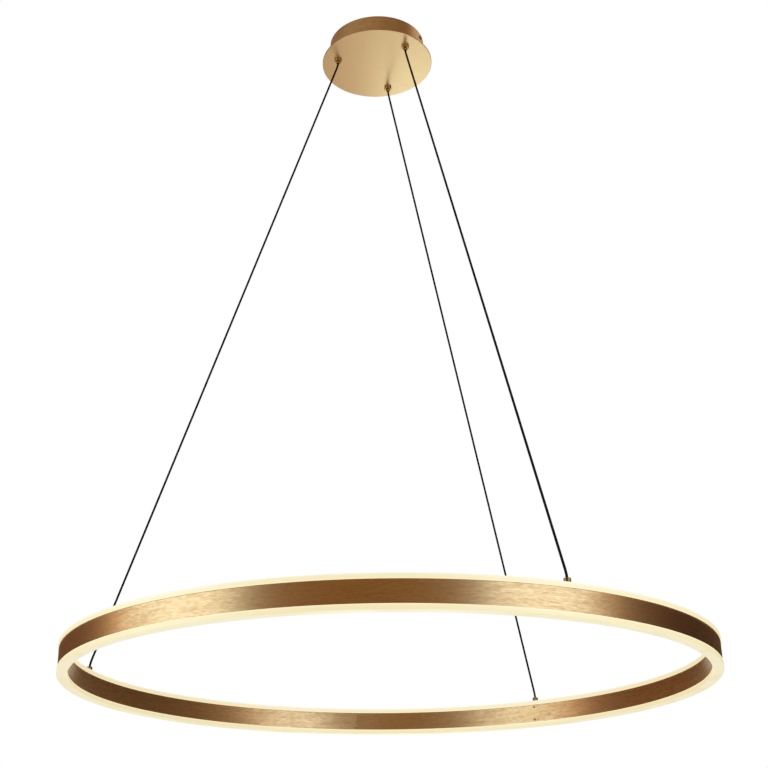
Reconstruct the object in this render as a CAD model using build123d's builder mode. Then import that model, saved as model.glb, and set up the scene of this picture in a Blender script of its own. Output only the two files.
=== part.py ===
from build123d import *
import os
from math import cos, degrees, pi, radians, sin, tan

# Ring chandelier: a one metre ring of brushed brass-coloured band, lit through opal
# diffusers above and below, hung by three tight cables from a round ceiling canopy.
# Millimetres. The origin is the middle of the canopy's ceiling face, +Z up, and all
# of the lamp hangs below z = 0. Azimuths are degrees from +X towards +Y.

# ---- Driving dimensions: whole lamp ------------------------------------------------
OVERALL_DROP = 1204.0  # ceiling to the lowest face of the ring
RING_DIAMETER = 1000.0  # over the outer band
DISC_DIAMETER = 205.0  # cover disc of the canopy; the drum and the cable grips follow it
CANOPY_HEIGHT = 42.5  # ceiling to the underside of the cover disc
GLAND_AZ = (74.3, 194.3, 314.3)  # cable grips a, b, c
ANCHOR_AZ = (56.6, 169.4, 297.1)  # cable anchors a, b, c on the ring
MARKS = "abc"

THREAD_FIT = 0.05  # radial, on every screw, stud and nut
SCREW_CLEARANCE = 0.2  # radial, in a plain hole

# ---- Ring section ------------------------------------------------------------------
PROFILE_WIDTH = 14.0  # outer face of the outer band to inner face of the inner band
BAND_HEIGHT = 30.5
BAND_THICKNESS = 1.2
BAND_SEAM = 0.3  # gap where the two ends of a band meet
BAND_SEAM_AZ = 96.8
GLUE_LINE = 0.05  # between a band and the core
CORE_WALL = 1.2
CORE_WEB = 2.0
DIFFUSER_HEAD = 7.5  # height of the part that shows
DIFFUSER_LIP = 1.0  # how far it stands out over each band
DIFFUSER_TONGUE = 2.0
DIFFUSER_EDGE = 1.2
TONGUE_CLEARANCE = 0.3
STRIP_WIDTH = 7.0
STRIP_THICKNESS = 0.8
CHIP_SIZE = 2.8
CHIP_HEIGHT = 0.8
CHIP_PITCH = 3.4  # degrees
STRIP_END_GAP = 2.0  # clear of an anchor block

# ---- Cable anchors on the ring -----------------------------------------------------
BLOCK_LENGTH = 12.0
BLOCK_HEIGHT = 26.0
BLOCK_CLEARANCE = 0.35  # each side, so that a straight block fits a curved channel
BARREL_DIAMETER = 9.5
BARREL_HEIGHT = 6.5
BARREL_CHAMFER = 0.7
BARREL_MOUTH = 5.2  # bore where the free cable swings as the ring is raised
SHANK_DIAMETER = 6.0
SHANK_LENGTH = 15.5
SHANK_CLEARANCE = 0.2  # in the diffuser's hole
FERRULE_DIAMETER = 5.4
FERRULE_LENGTH = 5.0
FERRULE_ROOM = 1.0  # below it, in the block
CRIMP_FIT = 0.02  # radial, ferrule on the cable
ANCHOR_SCREW_DIAMETER = 2.5
ANCHOR_SCREW_HEAD = 4.4
ANCHOR_SCREW_SPACING = 22.0
ANCHOR_SCREW_LENGTH = 3.7
BAND_SCREW_DIAMETER = 2.0
BAND_SCREW_HEAD = 3.2
BAND_SCREW_LENGTH = 2.4
BAND_SCREW_INSET = 3.0  # from the band's lower edge
BAND_SCREW_OFFSET = 2.6  # from the seam, along the band
SCREW_HEAD_TAPER = 44.0  # degrees, a little steeper than the sink it sits in

# ---- Canopy ------------------------------------------------------------------------
DISC_THICKNESS = 3.0
DISC_EDGE = 0.6
DRUM_INSET = 14.5  # from the disc's rim
DRUM_WALL = 1.2
LUG_WIDTH = 14.0
LUG_DEPTH = 11.0
LUG_THICKNESS = 1.2
STUD_DIAMETER = 3.0
STUD_LENGTH = 6.0
STUD_CLEARANCE = 0.2
NUT_ACROSS_FLATS = 5.5
NUT_HEIGHT = 2.4

PLATE_DIAMETER = 134.0
PLATE_THICKNESS = 2.0
PLATE_WIRE_HOLE = 44.0
SLOT_SPACING = 96.0
SLOT_LENGTH = 22.0
SLOT_WIDTH = 5.5
TAB_AZ = -22.0
TAB_WIDTH = 24.0
TAB_DROP = 16.0
TAB_GAP = 2.0  # tab to the drum's inner wall
SIDE_SCREW_DIAMETER = 4.0
SIDE_SCREW_DEPTH = 8.0  # screw axis below the ceiling
SIDE_SCREW_HEAD = 7.5
SIDE_SCREW_HEAD_HEIGHT = 2.2
SIDE_SCREW_HEAD_TAPER = 8.0  # degrees
SIDE_SCREW_REACH = 4.0  # past the tab's outer face
EARTH_SCREW_PLACE = (0.0, PLATE_DIAMETER / 2 - 22.0)
EARTH_SCREW_DIAMETER = 4.0
EARTH_SCREW_HEAD = 8.0
EARTH_SCREW_HEAD_HEIGHT = 3.0

# ---- Inside the canopy -------------------------------------------------------------
DRIVER_AZ = GLAND_AZ[0] - 30.0
DRIVER_LENGTH = 108.0
DRIVER_WIDTH = 38.0
DRIVER_HEIGHT = 21.0
DRIVER_EDGE = 2.0
DRIVER_EAR = 12.0
DRIVER_EAR_WIDTH = 20.0
DRIVER_EAR_THICKNESS = 1.6
DRIVER_LID_GROOVE = 0.5
DRIVER_LID_LEVEL = 0.7  # of the case's height
MAINS_BLOCK = (28.0, 16.0, 15.0)
MAINS_BLOCK_RADIUS = 41.0
POLE_PITCH = 8.5
POLE_DIAMETER = 4.5
POLE_DEPTH = 6.0
OUTPUT_BLOCK_DIAMETER = 26.0
OUTPUT_BLOCK_TOP = -5.5
OUTPUT_BLOCK_SOCKET = 6.0
OUTPUT_BLOCK_EDGE = 1.0
TAIL_Z = -9.0  # centre of the level runs of cable inside the canopy

# ---- Cable grips -------------------------------------------------------------------
CABLE_DIAMETER = 3.6
CABLE_CLEARANCE = 0.15
CABLE_SOCKET = 3.5  # how far the free cable reaches into the nozzle and the barrel
CABLE_LEAD = 3.5  # corner of the cable, outside the nozzle or barrel
GRIP_INSET = 11.8  # a grip's axis, from the drum's inner wall
GRIP_SHANK_DIAMETER = 10.6
GRIP_HOLE_CLEARANCE = 0.2
GRIP_FLANGE_DIAMETER = 13.6
GRIP_FLANGE_HEIGHT = 4.0
GRIP_FLANGE_EDGE = 0.5
GRIP_SHANK_LENGTH = 17.5  # above the disc's underside
NOZZLE_DIAMETER = 7.4
NOZZLE_OUT = 5.0  # below the flange
NOZZLE_EDGE = 0.4
NOZZLE_BELL = 5.2  # bore at the mouth
NOZZLE_FIT = 0.05  # radial
SLEEVE_DIAMETER = 6.5
COLLAR_DIAMETER = 8.3
COLLAR_FIT = 0.1  # radial
COLLAR_HEIGHT = 1.5
PLUNGER_TRAVEL = 2.0
CAP_HEIGHT = 2.5
CAP_FIT = 0.03  # radial
BALL_DIAMETER = 2.0
BALL_FIT = 0.1
BALL_COUNT = 3
BALL_DEPTH = 3.0  # ball centres, below the top of the cone they wedge in
CONE_RELIEF = 0.5  # plain bore between the collar and the cone
CONE_TAIL = 2.5  # the cone's length below the ball centres
SPRING_HEIGHT = 4.0
SPRING_WIRE = 0.4
SPRING_DIAMETER = 6.6  # middle of the wire
SPRING_TURNS = 3.5
SPRING_END_GAP = 0.05
LOCKNUT_ACROSS_FLATS = 13.0
LOCKNUT_HEIGHT = 3.0

# ---- Places worked out from the sizes above ----------------------------------------
ring_bottom = -OVERALL_DROP
band_bottom = ring_bottom + DIFFUSER_HEAD
band_top = band_bottom + BAND_HEIGHT
ring_top = band_top + DIFFUSER_HEAD
outer_r = RING_DIAMETER / 2
inner_r = outer_r - PROFILE_WIDTH
mid_r = outer_r - PROFILE_WIDTH / 2
core_outer_r = outer_r - BAND_THICKNESS - GLUE_LINE
core_inner_r = inner_r + BAND_THICKNESS + GLUE_LINE
screw_hole_reach = BAND_THICKNESS + GLUE_LINE + CORE_WALL + CORE_WALL / 2
channel_width = core_outer_r - core_inner_r - 2 * CORE_WALL
band_middle = (band_bottom + band_top) / 2
web_bottom = band_middle - CORE_WEB / 2
web_top = web_bottom + CORE_WEB
block_bottom = band_middle - BLOCK_HEIGHT / 2
block_top = block_bottom + BLOCK_HEIGHT
block_width = channel_width - 2 * BLOCK_CLEARANCE
barrel_top = ring_top + BARREL_HEIGHT
shank_bottom = ring_top - SHANK_LENGTH
cable_foot = barrel_top - CABLE_SOCKET
ferrule_bottom = shank_bottom - FERRULE_LENGTH

disc_bottom = -CANOPY_HEIGHT
disc_top = disc_bottom + DISC_THICKNESS
drum_r = DISC_DIAMETER / 2 - DRUM_INSET
drum_inner_r = drum_r - DRUM_WALL
gland_r = drum_inner_r - GRIP_INSET
stud_r = drum_inner_r - LUG_DEPTH / 2
tab_face_r = drum_inner_r - TAB_GAP
driver_top = disc_top + DRIVER_HEIGHT
driver_stud_r = (DRIVER_LENGTH + DRIVER_EAR) / 2

flange_bottom = disc_bottom - GRIP_FLANGE_HEIGHT
nozzle_mouth = flange_bottom - NOZZLE_OUT
tail_bottom = nozzle_mouth + CABLE_SOCKET
grip_top = disc_bottom + GRIP_SHANK_LENGTH
cavity_top = grip_top - CAP_HEIGHT
collar_top = cavity_top - SPRING_HEIGHT
collar_bottom = collar_top - COLLAR_HEIGHT
cone_top = collar_bottom - CONE_RELIEF
ball_z = cone_top - BALL_DEPTH
cone_bottom = ball_z - CONE_TAIL
nozzle_shoulder = cone_bottom - PLUNGER_TRAVEL
bore_r = CABLE_DIAMETER / 2 + CABLE_CLEARANCE
nozzle_bore_r = NOZZLE_DIAMETER / 2 + NOZZLE_FIT
cavity_r = COLLAR_DIAMETER / 2 + COLLAR_FIT
ball_r = CABLE_DIAMETER / 2 + BALL_FIT + BALL_DIAMETER / 2

os.makedirs("parts", exist_ok=True)


def polar(radius, azimuth, z=0.0):
    """A point at a radius and an azimuth about the lamp's axis."""
    return Vector(radius * cos(radians(azimuth)), radius * sin(radians(azimuth)), z)


def outward(radius, azimuth, z):
    """A plane on a round wall: its Z points away from the lamp's axis, its Y up."""
    return Plane(polar(radius, azimuth, z), x_dir=polar(1, azimuth + 90), z_dir=polar(1, azimuth))


def inward(azimuth, z, along=0.0):
    """A plane on the inner band: its Z points at the lamp's axis. along shifts it sideways."""
    across = polar(1, azimuth + 90)
    return Plane(polar(inner_r, azimuth, z) + across * along, x_dir=across, z_dir=-polar(1, azimuth))


def section(azimuth=0.0):
    """The upright plane through the lamp's axis: X is the radius, Y is height."""
    return Plane((0, 0, 0), x_dir=polar(1, azimuth), z_dir=polar(1, azimuth - 90))


def save(part, name):
    """Labels a finished piece and writes its STEP file."""
    part.label = name
    export_step(part, f"parts/{name}.step")


# =====================================================================================
# Canopy
# =====================================================================================

# ---- Ceiling plate: slots for the ceiling screws, two bent tabs for the drum ---------
with BuildPart() as ceiling_plate:
    with BuildSketch(Plane.XY.offset(-PLATE_THICKNESS)):
        Circle(PLATE_DIAMETER / 2)
        Rectangle(2 * tab_face_r, TAB_WIDTH, rotation=TAB_AZ)
        Circle(PLATE_WIRE_HOLE / 2, mode=Mode.SUBTRACT)
        with Locations((SLOT_SPACING / 2, 0), (-SLOT_SPACING / 2, 0)):
            SlotOverall(SLOT_LENGTH, SLOT_WIDTH, mode=Mode.SUBTRACT)
        with Locations(EARTH_SCREW_PLACE):
            Circle(EARTH_SCREW_DIAMETER / 2 + THREAD_FIT, mode=Mode.SUBTRACT)
    extrude(amount=PLATE_THICKNESS)
    for turn in (TAB_AZ, TAB_AZ + 180):
        with BuildSketch(outward(tab_face_r, turn, -TAB_DROP / 2)):
            Rectangle(TAB_WIDTH, TAB_DROP)
        extrude(amount=-PLATE_THICKNESS)
        with Locations(outward(tab_face_r, turn, -SIDE_SCREW_DEPTH)):
            Hole(SIDE_SCREW_DIAMETER / 2 + THREAD_FIT, depth=2 * PLATE_THICKNESS)
save(ceiling_plate.part, "ceiling_plate")

# ---- Earth screw, hanging under the ceiling plate -----------------------------------
with BuildPart() as earth_screw:
    with BuildSketch():
        with Locations(EARTH_SCREW_PLACE):
            Circle(EARTH_SCREW_DIAMETER / 2)
    extrude(amount=-PLATE_THICKNESS)
    with BuildSketch(Plane.XY.offset(-PLATE_THICKNESS)):
        with Locations(EARTH_SCREW_PLACE):
            RegularPolygon(EARTH_SCREW_HEAD / 2, 6)
    extrude(amount=-EARTH_SCREW_HEAD_HEIGHT)
save(earth_screw.part, "earth_screw")

# ---- Drum: spun wall with three lugs that take the disc's studs ----------------------
lug_turn = GLAND_AZ[0] + 60
with BuildPart() as canopy_drum:
    with BuildSketch(Plane.XY.offset(disc_top)):
        Circle(drum_r)
        Circle(drum_inner_r, mode=Mode.SUBTRACT)
    extrude(amount=-disc_top)
    with BuildSketch(Plane.XY.offset(disc_top)):
        with PolarLocations(stud_r + DRUM_WALL / 4, 3, start_angle=lug_turn):
            Rectangle(LUG_DEPTH + DRUM_WALL / 2, LUG_WIDTH)
        with PolarLocations(stud_r, 3, start_angle=lug_turn):
            Circle(STUD_DIAMETER / 2 + STUD_CLEARANCE, mode=Mode.SUBTRACT)
    extrude(amount=LUG_THICKNESS)
    for turn in (TAB_AZ, TAB_AZ + 180):
        with Locations(outward(drum_r, turn, -SIDE_SCREW_DEPTH)):
            Hole(SIDE_SCREW_DIAMETER / 2 + SCREW_CLEARANCE, depth=3 * DRUM_WALL)
save(canopy_drum.part, "canopy_drum")

# ---- Side screws: hold the drum to the plate's tabs ---------------------------------
with BuildPart() as canopy_side_screws:
    for turn in (TAB_AZ, TAB_AZ + 180):
        with BuildSketch(outward(drum_r, turn, -SIDE_SCREW_DEPTH)):
            Circle(SIDE_SCREW_DIAMETER / 2)
        extrude(amount=-(DRUM_WALL + TAB_GAP + SIDE_SCREW_REACH))
        with BuildSketch(outward(drum_r, turn, -SIDE_SCREW_DEPTH)):
            Circle(SIDE_SCREW_HEAD / 2)
        extrude(amount=SIDE_SCREW_HEAD_HEIGHT, taper=SIDE_SCREW_HEAD_TAPER)
save(canopy_side_screws.part, "canopy_side_screws")

# ---- Cover disc: plain below, welded studs above ------------------------------------
driver_studs = [polar(driver_stud_r, DRIVER_AZ), polar(-driver_stud_r, DRIVER_AZ)]
mains_stud = polar(MAINS_BLOCK_RADIUS, DRIVER_AZ + 90)
lug_studs = [polar(stud_r, lug_turn + 120 * k) for k in range(3)]
with BuildPart() as canopy_disc:
    with BuildSketch(Plane.XY.offset(disc_bottom)):
        Circle(DISC_DIAMETER / 2)
        with PolarLocations(gland_r, 3, start_angle=GLAND_AZ[0]):
            Circle(GRIP_SHANK_DIAMETER / 2 + GRIP_HOLE_CLEARANCE, mode=Mode.SUBTRACT)
    extrude(amount=DISC_THICKNESS)
    fillet(canopy_disc.edges().filter_by(GeomType.CIRCLE).sort_by(SortBy.RADIUS)[-2:], DISC_EDGE)
    with BuildSketch(Plane.XY.offset(disc_top)):
        with Locations(*[(p.X, p.Y) for p in lug_studs + driver_studs]):
            Circle(STUD_DIAMETER / 2)
    extrude(amount=STUD_LENGTH)
save(canopy_disc.part, "canopy_disc")


def hex_nut(place, seat_z, across_flats, height, bore):
    """A plain hexagon nut standing on seat_z, added to the part being built."""
    with BuildSketch(Plane.XY.offset(seat_z)) as hexagon:
        with Locations((place.X, place.Y)):
            RegularPolygon(across_flats / 2, 6, major_radius=False)
            Circle(bore, mode=Mode.SUBTRACT)
    extrude(hexagon.sketch, amount=height)


# ---- Nuts on the disc's studs: three on the drum's lugs, two on the driver's ears ----
with BuildPart() as stud_nuts:
    for studs, held in ((lug_studs, LUG_THICKNESS), (driver_studs, DRIVER_EAR_THICKNESS)):
        for stud in studs:
            hex_nut(stud, disc_top + held, NUT_ACROSS_FLATS, NUT_HEIGHT, STUD_DIAMETER / 2 + THREAD_FIT)
save(stud_nuts.part, "stud_nuts")

# ---- Driver: moulded case with a lid line and two ears ------------------------------
driver_plane = Plane((0, 0, disc_top), x_dir=polar(1, DRIVER_AZ), z_dir=(0, 0, 1))
with BuildPart() as led_driver:
    with BuildSketch(driver_plane):
        Rectangle(DRIVER_LENGTH, DRIVER_WIDTH)
    extrude(amount=DRIVER_HEIGHT)
    fillet(led_driver.edges().filter_by(Axis.Z), DRIVER_EDGE)
    fillet(led_driver.faces().sort_by(Axis.Z)[-1].edges(), DRIVER_EDGE / 2)
    with BuildSketch(driver_plane.offset(DRIVER_HEIGHT * DRIVER_LID_LEVEL)):
        lid_line = Rectangle(DRIVER_LENGTH, DRIVER_WIDTH)
        offset(lid_line, -DRIVER_LID_GROOVE, mode=Mode.SUBTRACT)
    extrude(amount=DRIVER_LID_GROOVE, mode=Mode.SUBTRACT)
    with BuildSketch(driver_plane):
        with Locations((driver_stud_r, 0), (-driver_stud_r, 0)):
            Rectangle(DRIVER_EAR, DRIVER_EAR_WIDTH)
            Circle(STUD_DIAMETER / 2 + STUD_CLEARANCE, mode=Mode.SUBTRACT)
    extrude(amount=DRIVER_EAR_THICKNESS)
save(led_driver.part, "led_driver")

# ---- Mains terminal: three poles with a screw well over each and a wire hole beside --
mains_plane = Plane((mains_stud.X, mains_stud.Y, disc_top), x_dir=polar(1, DRIVER_AZ), z_dir=(0, 0, 1))
with BuildPart() as mains_terminal:
    with BuildSketch(mains_plane):
        Rectangle(MAINS_BLOCK[0], MAINS_BLOCK[1])
    extrude(amount=MAINS_BLOCK[2])
    with BuildSketch(mains_plane.offset(MAINS_BLOCK[2])):
        with GridLocations(POLE_PITCH, 1, 3, 1):
            Circle(POLE_DIAMETER / 2)
    extrude(amount=-POLE_DEPTH, mode=Mode.SUBTRACT)
    side = Plane(mains_plane.origin, x_dir=mains_plane.x_dir, z_dir=mains_plane.y_dir)
    with BuildSketch(side.offset(-MAINS_BLOCK[1] / 2)):
        with Locations((0, -MAINS_BLOCK[2] / 2)):
            with GridLocations(POLE_PITCH, 1, 3, 1):
                Circle(POLE_DIAMETER / 3)
    extrude(amount=MAINS_BLOCK[1], mode=Mode.SUBTRACT)
save(mains_terminal.part, "mains_terminal")

# ---- Output terminal: round block on the driver, one socket towards each grip --------
with BuildPart() as output_terminal:
    with BuildSketch(Plane.XY.offset(driver_top)):
        Circle(OUTPUT_BLOCK_DIAMETER / 2)
    extrude(amount=OUTPUT_BLOCK_TOP - driver_top)
    chamfer(output_terminal.edges().group_by(Axis.Z)[-1], OUTPUT_BLOCK_EDGE)
    for azimuth in GLAND_AZ:
        with Locations(outward(OUTPUT_BLOCK_DIAMETER / 2, azimuth, TAIL_Z)):
            Hole(CABLE_DIAMETER / 2 + CABLE_CLEARANCE, depth=OUTPUT_BLOCK_SOCKET)
save(output_terminal.part, "output_terminal")

# =====================================================================================
# Cable grips: the nozzle is pushed up against its spring to let the cable run
# =====================================================================================


def grip_axis(azimuth):
    """The upright section plane through a grip: X is the radius from the grip's axis."""
    return Plane(polar(gland_r, azimuth), x_dir=polar(1, azimuth), z_dir=polar(1, azimuth - 90))


for mark, azimuth in zip(MARKS, GLAND_AZ):
    centre = polar(gland_r, azimuth)
    spin_axis = Axis(centre, (0, 0, 1))

    # Body: flange under the disc, shank through it, and the cone that the balls wedge in.
    with BuildPart() as grip_body:
        with BuildSketch(grip_axis(azimuth)):
            with BuildLine():
                Polyline(
                    (nozzle_bore_r, flange_bottom),
                    (GRIP_FLANGE_DIAMETER / 2 - GRIP_FLANGE_EDGE, flange_bottom),
                    (GRIP_FLANGE_DIAMETER / 2, flange_bottom + GRIP_FLANGE_EDGE),
                    (GRIP_FLANGE_DIAMETER / 2, disc_bottom),
                    (GRIP_SHANK_DIAMETER / 2, disc_bottom),
                    (GRIP_SHANK_DIAMETER / 2, grip_top),
                    (cavity_r, grip_top),
                    (cavity_r, cone_top),
                    (nozzle_bore_r, cone_bottom),
                    close=True,
                )
            make_face()
        revolve(axis=spin_axis)
    save(grip_body.part, f"grip_body_{mark}")

    # Cap: closes the body's cavity above the spring.
    with BuildPart() as grip_cap:
        with BuildSketch(Plane.XY.offset(cavity_top)):
            with Locations((centre.X, centre.Y)):
                Circle(cavity_r - CAP_FIT)
                Circle(bore_r + CABLE_CLEARANCE, mode=Mode.SUBTRACT)
        extrude(amount=CAP_HEIGHT)
    save(grip_cap.part, f"grip_cap_{mark}")

    # Plunger: nozzle, ball sleeve and the collar that the spring pushes down on.
    with BuildPart() as grip_plunger:
        with BuildSketch(grip_axis(azimuth)):
            with BuildLine():
                Polyline(
                    (NOZZLE_BELL / 2, nozzle_mouth),
                    (NOZZLE_DIAMETER / 2 - NOZZLE_EDGE, nozzle_mouth),
                    (NOZZLE_DIAMETER / 2, nozzle_mouth + NOZZLE_EDGE),
                    (NOZZLE_DIAMETER / 2, nozzle_shoulder),
                    (SLEEVE_DIAMETER / 2, nozzle_shoulder),
                    (SLEEVE_DIAMETER / 2, collar_bottom),
                    (COLLAR_DIAMETER / 2, collar_bottom),
                    (COLLAR_DIAMETER / 2, collar_top),
                    (bore_r, collar_top),
                    (bore_r, tail_bottom),
                    close=True,
                )
            make_face()
        revolve(axis=spin_axis)
        with Locations(Location(polar(gland_r, azimuth, ball_z))):
            with PolarLocations(0, BALL_COUNT, start_angle=azimuth):
                Cylinder(
                    BALL_DIAMETER / 2 + BALL_FIT,
                    NOZZLE_DIAMETER,
                    rotation=(0, 90, 0),
                    align=(Align.CENTER, Align.CENTER, Align.MIN),
                    mode=Mode.SUBTRACT,
                )
    save(grip_plunger.part, f"grip_plunger_{mark}")

    # Balls: three round the cable, in the sleeve's holes.
    with BuildPart() as grip_balls:
        with Locations(Location(polar(gland_r, azimuth, ball_z))):
            with PolarLocations(ball_r, BALL_COUNT, start_angle=azimuth):
                Sphere(BALL_DIAMETER / 2)
    save(grip_balls.part, f"grip_balls_{mark}")

    # Spring: between the plunger's collar and the cap.
    coil_height = SPRING_HEIGHT - SPRING_WIRE - 2 * SPRING_END_GAP
    coil_start = polar(gland_r, azimuth, collar_top + SPRING_END_GAP + SPRING_WIRE / 2)
    with BuildPart() as grip_spring:
        with BuildLine(Plane(coil_start)) as coil:
            Helix(coil_height / SPRING_TURNS, coil_height, SPRING_DIAMETER / 2)
        with BuildSketch(Plane(coil.line @ 0, z_dir=coil.line % 0)):
            Circle(SPRING_WIRE / 2)
        sweep(path=coil.line, is_frenet=True)
    save(grip_spring.part, f"grip_spring_{mark}")

# ---- Locknuts of the three grips, on top of the disc --------------------------------
with BuildPart() as grip_locknuts:
    for azimuth in GLAND_AZ:
        thread_r = GRIP_SHANK_DIAMETER / 2 + THREAD_FIT
        hex_nut(polar(gland_r, azimuth), disc_top, LOCKNUT_ACROSS_FLATS, LOCKNUT_HEIGHT, thread_r)
save(grip_locknuts.part, "grip_locknuts")

# =====================================================================================
# Cables
# =====================================================================================


def cable_tube(name, points):
    """A round cable along straight runs joined by arcs; prints the radii and the length."""
    runs = [(b - a).length for a, b in zip(points, points[1:])]
    radii = []
    for k in range(1, len(points) - 1):
        turn = (points[k] - points[k - 1]).get_angle(points[k + 1] - points[k])
        radii.append(0.45 * min(runs[k - 1], runs[k]) / tan(radians(turn / 2)))
    with BuildPart() as cable:
        with BuildLine():
            route = FilletPolyline(*points, radius=radii)
        with BuildSketch(Plane(route @ 0, z_dir=route % 0)):
            Circle(CABLE_DIAMETER / 2)
        sweep(path=route)
    share = cable.part.volume / (pi * CABLE_DIAMETER**2 / 4 * route.length)
    print(name, "length", round(route.length, 1), "radii", [round(r, 1) for r in radii])
    print("    its volume over section times length:", round(share, 4))
    save(cable.part, name)


for mark, grip_az, anchor_az in zip(MARKS, GLAND_AZ, ANCHOR_AZ):
    # Free cable: from inside the nozzle, straight to the ring, into the barrel.
    cable_tube(
        f"cable_{mark}",
        [
            polar(gland_r, grip_az, tail_bottom),
            polar(gland_r, grip_az, nozzle_mouth - CABLE_LEAD),
            polar(mid_r, anchor_az, barrel_top + CABLE_LEAD),
            polar(mid_r, anchor_az, cable_foot),
        ],
    )
    # Its upper end: up through the grip and over to the output terminal.
    cable_tube(
        f"cable_tail_{mark}",
        [
            polar(gland_r, grip_az, tail_bottom),
            polar(gland_r, grip_az, TAIL_Z),
            polar(OUTPUT_BLOCK_DIAMETER / 2 - OUTPUT_BLOCK_SOCKET, grip_az, TAIL_Z),
        ],
    )

# =====================================================================================
# Ring
# =====================================================================================

# ---- Where the countersunk screws go in: two at each anchor, one beside the seam ------
anchor_screw_faces = [
    inward(azimuth, band_middle + rise)
    for azimuth in ANCHOR_AZ
    for rise in (-ANCHOR_SCREW_SPACING / 2, ANCHOR_SCREW_SPACING / 2)
]
seam_screw_face = inward(BAND_SEAM_AZ, band_bottom + BAND_SCREW_INSET, BAND_SCREW_OFFSET)

# ---- Core: H-shaped extrusion rolled to a ring, its web cut away at the anchors ------
with BuildPart() as ring_core:
    with BuildSketch(section()):
        with Locations(((core_inner_r + core_outer_r) / 2, band_middle)):
            Rectangle(core_outer_r - core_inner_r, BAND_HEIGHT)
        for low, high in ((band_bottom, web_bottom), (web_top, band_top)):
            with Locations((mid_r, (low + high) / 2)):
                Rectangle(channel_width, high - low, mode=Mode.SUBTRACT)
    revolve(axis=Axis.Z)
    for azimuth in ANCHOR_AZ:
        with BuildSketch(Plane(polar(mid_r, azimuth, web_bottom), x_dir=polar(1, azimuth), z_dir=(0, 0, 1))):
            Rectangle(channel_width, BLOCK_LENGTH + 2 * BLOCK_CLEARANCE)
        extrude(amount=CORE_WEB, mode=Mode.SUBTRACT)
    with Locations(*anchor_screw_faces):
        Cylinder(ANCHOR_SCREW_DIAMETER / 2 + SCREW_CLEARANCE, 2 * screw_hole_reach, mode=Mode.SUBTRACT)
    with Locations(seam_screw_face):
        Cylinder(BAND_SCREW_DIAMETER / 2 + THREAD_FIT, 2 * screw_hole_reach, mode=Mode.SUBTRACT)
save(ring_core.part, "ring_core")


def band_ring(radius_in):
    """A strip of band bent to a ring, its two ends meeting at the seam."""
    seam_angle = degrees(BAND_SEAM / radius_in)
    with BuildSketch(section(BAND_SEAM_AZ + seam_angle / 2)) as strip:
        with Locations((radius_in + BAND_THICKNESS / 2, band_middle)):
            Rectangle(BAND_THICKNESS, BAND_HEIGHT)
    revolve(strip.sketch, axis=Axis.Z, revolution_arc=360 - seam_angle)


# ---- Outer band ---------------------------------------------------------------------
with BuildPart() as outer_band:
    band_ring(outer_r - BAND_THICKNESS)
save(outer_band.part, "outer_band")

# ---- Inner band: countersunk for the anchor screws and for the screw at its seam -----
with BuildPart() as inner_band:
    band_ring(inner_r)
    sink_r = ANCHOR_SCREW_HEAD / 2 + THREAD_FIT
    with Locations(*anchor_screw_faces):
        CounterSinkHole(ANCHOR_SCREW_DIAMETER / 2 + SCREW_CLEARANCE, sink_r, depth=2 * BAND_THICKNESS)
    sink_r = BAND_SCREW_HEAD / 2 + THREAD_FIT
    with Locations(seam_screw_face):
        CounterSinkHole(BAND_SCREW_DIAMETER / 2 + THREAD_FIT, sink_r, depth=2 * BAND_THICKNESS)
save(inner_band.part, "inner_band")


def sunk_screw(face, shank_d, head_d, length):
    """A countersunk screw driven in along -Z of a plane, its head flush with the plane."""
    sink = (head_d - shank_d) / 2
    with BuildSketch(face) as head:
        Circle(head_d / 2)
    extrude(head.sketch, amount=-sink, taper=SCREW_HEAD_TAPER)
    with BuildSketch(face.offset(-sink / 2)) as shank:
        Circle(shank_d / 2)
    extrude(shank.sketch, amount=-(length - sink / 2))


# ---- Screw beside the inner band's seam ---------------------------------------------
with BuildPart() as band_seam_screw:
    sunk_screw(seam_screw_face, BAND_SCREW_DIAMETER, BAND_SCREW_HEAD, BAND_SCREW_LENGTH)
save(band_seam_screw.part, "band_seam_screw")


def diffuser_ring(seat_z, up):
    """An opal ring seated on the bands at seat_z, its head above it if up is 1, below if -1."""
    with BuildSketch(section()) as profile:
        with Locations((mid_r, seat_z + up * DIFFUSER_HEAD / 2)):
            Rectangle(PROFILE_WIDTH + 2 * DIFFUSER_LIP, DIFFUSER_HEAD)
        with Locations((mid_r, seat_z - up * DIFFUSER_TONGUE / 2)):
            Rectangle(channel_width - 2 * TONGUE_CLEARANCE, DIFFUSER_TONGUE)
    revolve(profile.sketch, axis=Axis.Z)


# ---- Diffusers: a head that shows and a tongue in the core's channel -----------------
with BuildPart() as diffuser_top:
    diffuser_ring(band_top, 1)
    chamfer(diffuser_top.edges().group_by(Axis.Z)[-1], DIFFUSER_EDGE)
    with Locations(*[polar(mid_r, azimuth, ring_top) for azimuth in ANCHOR_AZ]):
        Hole(SHANK_DIAMETER / 2 + SHANK_CLEARANCE, depth=DIFFUSER_HEAD + DIFFUSER_TONGUE)
save(diffuser_top.part, "diffuser_top")

with BuildPart() as diffuser_bottom:
    diffuser_ring(band_bottom, -1)
    chamfer(diffuser_bottom.edges().group_by(Axis.Z)[0], DIFFUSER_EDGE)
save(diffuser_bottom.part, "diffuser_bottom")

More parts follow.
